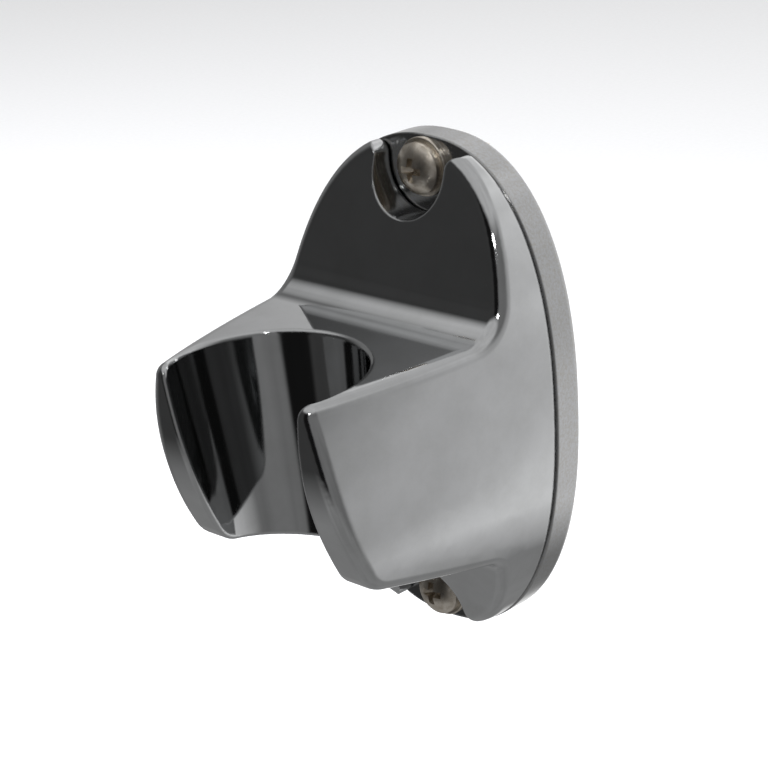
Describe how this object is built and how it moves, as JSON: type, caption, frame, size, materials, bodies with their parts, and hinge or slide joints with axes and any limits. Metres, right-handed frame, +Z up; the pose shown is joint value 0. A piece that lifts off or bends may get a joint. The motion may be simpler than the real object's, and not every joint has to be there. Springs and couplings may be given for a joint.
{
  "type": "hair dryer holder",
  "caption": "Chrome-plated wall holder for a hair dryer: an oval back plate with an open, leaning, tapered cradle that takes the dryer's handle between two prongs.",
  "frame": {"origin": "centre of the back plate's back face, which lies on the wall", "axes": "+Z up, +X to the right, -Y out of the wall towards the user; the wall is the plane Y = 0"},
  "size_m": [0.0578, 0.0701, 0.095],
  "materials": {
    "chrome_plate": "bright chrome plating on moulded ABS",
    "nickel_steel": "bright nickel-plated steel",
    "zinc_steel": "zinc-plated steel"
  },
  "bodies": {
    "root": {"front_holder": "chrome_plate", "back_plate": "chrome_plate", "wall_screw_top": "nickel_steel", "wall_screw_bottom": "nickel_steel", "washer_top": "nickel_steel", "washer_bottom": "nickel_steel", "case_screw_upper_left": "zinc_steel", "case_screw_upper_right": "zinc_steel", "case_screw_lower_left": "zinc_steel", "case_screw_lower_right": "zinc_steel"}
  },
  "joints": []
}
